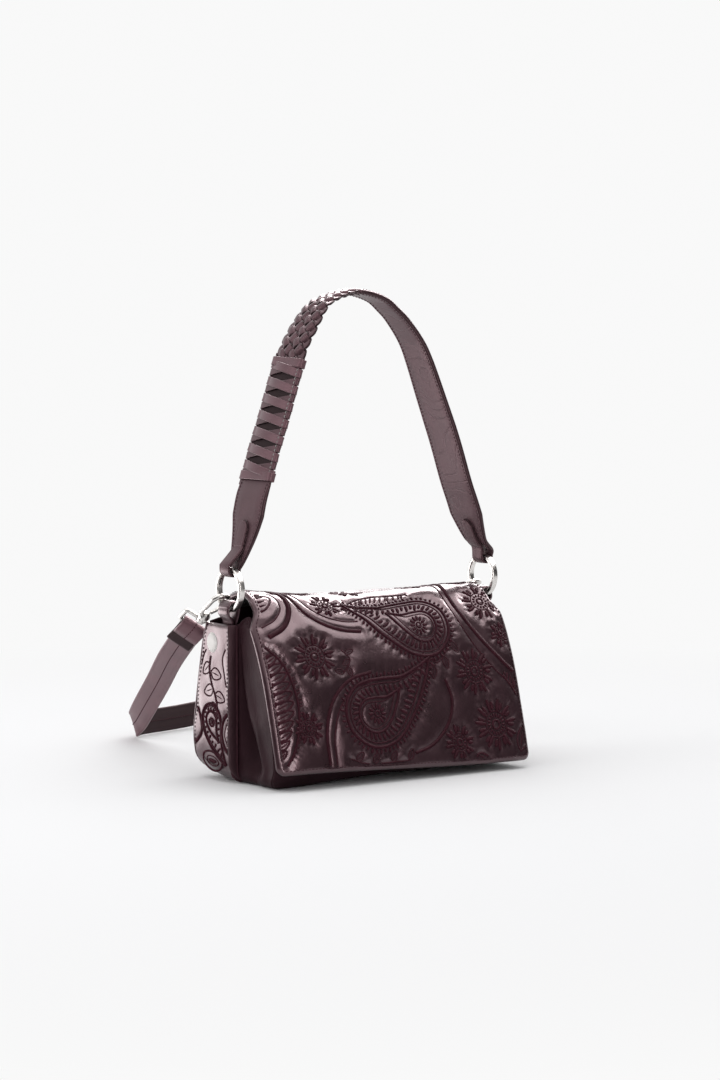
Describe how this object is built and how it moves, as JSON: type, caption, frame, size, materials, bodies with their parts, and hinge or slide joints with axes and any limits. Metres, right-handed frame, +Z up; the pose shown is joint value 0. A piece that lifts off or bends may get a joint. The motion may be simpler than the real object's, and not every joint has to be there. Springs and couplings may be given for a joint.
{
  "type": "small shoulder bag",
  "caption": "Small two-compartment leather shoulder bag with a padded flap, ring-hung braided handle and a clip-on crossbody strap.",
  "frame": {"origin": "middle of the base, on the surface the bag stands on, under the seam between the compartments", "axes": "+X to the bag's right as seen from the flap's side, +Y to the bag's back, +Z up"},
  "size_m": [0.2826, 0.3505, 0.3599],
  "materials": {
    "bag_leather": "glossy aubergine calf leather, smooth",
    "flap_leather": "glossy aubergine calf leather with tone-on-tone embroidery",
    "strap_leather": "semi-matte mauve-brown leather",
    "lining_cloth": "dark twill lining",
    "nickel": "polished nickel plate",
    "zip_metal": "nickel-plated zip",
    "foam": "foam and stiffener board"
  },
  "bodies": {
    "bag": {"base_board": "foam", "corner_loop_left": "bag_leather", "corner_loop_right": "bag_leather", "crossbody_strap": "strap_leather", "divider_panel": "bag_leather", "front_gusset": "bag_leather", "front_lining": "lining_cloth", "front_panel": "bag_leather", "panel_magnet": "zip_metal", "rear_gusset": "flap_leather", "rear_lining": "lining_cloth", "rear_panel": "bag_leather", "rear_piping": "bag_leather", "strap_buckle": "nickel", "stud_left": "nickel", "stud_right": "nickel", "stud_washer_left": "nickel", "stud_washer_right": "nickel", "swivel_loop_left": "nickel", "swivel_loop_right": "nickel", "zip_stop_left": "zip_metal", "zip_stop_right": "zip_metal", "zip_tape_back": "lining_cloth", "zip_tape_front": "lining_cloth", "zip_teeth_back": "zip_metal", "zip_teeth_front": "zip_metal"},
    "flap_top": {"flap_top_skin": "flap_leather", "flap_top_lining": "lining_cloth"},
    "flap_front": {"flap_front_skin": "flap_leather", "flap_front_padding": "foam", "flap_front_lining": "lining_cloth", "flap_magnet": "zip_metal"},
    "handle": {"handle_strap_left": "strap_leather", "handle_lacing": "strap_leather", "handle_braid": "strap_leather", "handle_strap_right": "strap_leather"},
    "ring_left_body": {"ring_left": "nickel"},
    "ring_right_body": {"ring_right": "nickel"},
    "hook_left_body": {"hook_left": "nickel"},
    "hook_right_body": {"hook_right": "nickel"},
    "gate_left": {"hook_gate_left": "nickel"},
    "gate_right": {"hook_gate_right": "nickel"},
    "slider": {"zip_slider": "zip_metal"},
    "puller": {"zip_puller": "zip_metal"}
  },
  "joints": [
    {"name": "flap_lift", "type": "hinge", "parent": "bag", "child": "flap_top", "pos_m": [0, 0.0385, 0.128], "axis": [-1, 0, 0], "range_deg": [0, 25]},
    {"name": "flap_fold", "type": "hinge", "parent": "flap_top", "child": "flap_front", "pos_m": [0, -0.008, 0.13124], "axis": [-1, 0, 0], "range_deg": [0, 145]},
    {"name": "handle_swing", "type": "hinge", "parent": "bag", "child": "handle", "pos_m": [0, 0.01, 0.1415], "axis": [-1, 0, 0], "range_deg": [-75, 75]},
    {"name": "ring_spin_left", "type": "hinge", "parent": "bag", "child": "ring_left_body", "pos_m": [-0.1148, 0.01, 0.1415], "axis": [1, 0, 0], "continuous": true},
    {"name": "ring_spin_right", "type": "hinge", "parent": "bag", "child": "ring_right_body", "pos_m": [0.1148, 0.01, 0.1415], "axis": [1, 0, 0], "continuous": true},
    {"name": "hook_swivel_left", "type": "hinge", "parent": "bag", "child": "hook_left_body", "pos_m": [-0.1148, 0.01, 0.1415], "axis": [0, 0.848, -0.5299], "range_deg": [-12, 12]},
    {"name": "hook_swivel_right", "type": "hinge", "parent": "bag", "child": "hook_right_body", "pos_m": [0.1148, 0.01, 0.1415], "axis": [0, 0.848, -0.5299], "range_deg": [-12, 12]},
    {"name": "hook_gate_turn_left", "type": "hinge", "parent": "hook_left_body", "child": "gate_left", "pos_m": [-0.11197, 0.04146, 0.12184], "axis": [0, -0.5299, -0.848], "range_deg": [0, 25], "stiffness_Nm_per_rad": 0.006},
    {"name": "hook_gate_turn_right", "type": "hinge", "parent": "hook_right_body", "child": "gate_right", "pos_m": [0.11197, 0.04146, 0.12184], "axis": [0, 0.5299, 0.848], "range_deg": [0, 25], "stiffness_Nm_per_rad": 0.006},
    {"name": "zip_slide", "type": "slide", "parent": "bag", "child": "slider", "axis": [1, 0, 0], "range_m": [0, 0.172]},
    {"name": "puller_turn", "type": "hinge", "parent": "slider", "child": "puller", "pos_m": [-0.086, 0.0231, 0.11495], "axis": [0, -1, 0], "range_deg": [0, 150]}
  ]
}
